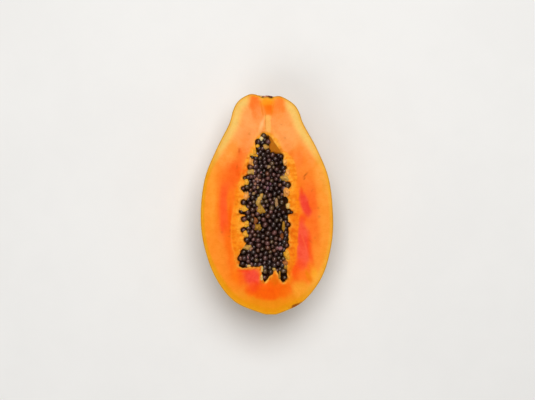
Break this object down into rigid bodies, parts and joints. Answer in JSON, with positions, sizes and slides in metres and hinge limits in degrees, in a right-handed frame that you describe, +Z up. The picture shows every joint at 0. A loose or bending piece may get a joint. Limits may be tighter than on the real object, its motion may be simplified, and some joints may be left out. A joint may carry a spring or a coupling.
{
  "type": "papaya half",
  "caption": "Half of a ripe papaya, cut lengthwise and lying on its round back, with a heap of dark seeds in its hollow and an uneven pulp rim",
  "frame": {"origin": "on the table, under the middle of the half's bounding box", "axes": "+Y points to the stem end, +Z up out of the level cut face, +X across"},
  "size_m": [0.1202, 0.2001, 0.0565],
  "materials": {
    "flesh": "moist orange flesh with a thin golden rind",
    "seeds": "wet, nearly black seeds"
  },
  "bodies": {
    "root": {"flesh": "flesh", "seeds": "seeds"}
  },
  "joints": []
}
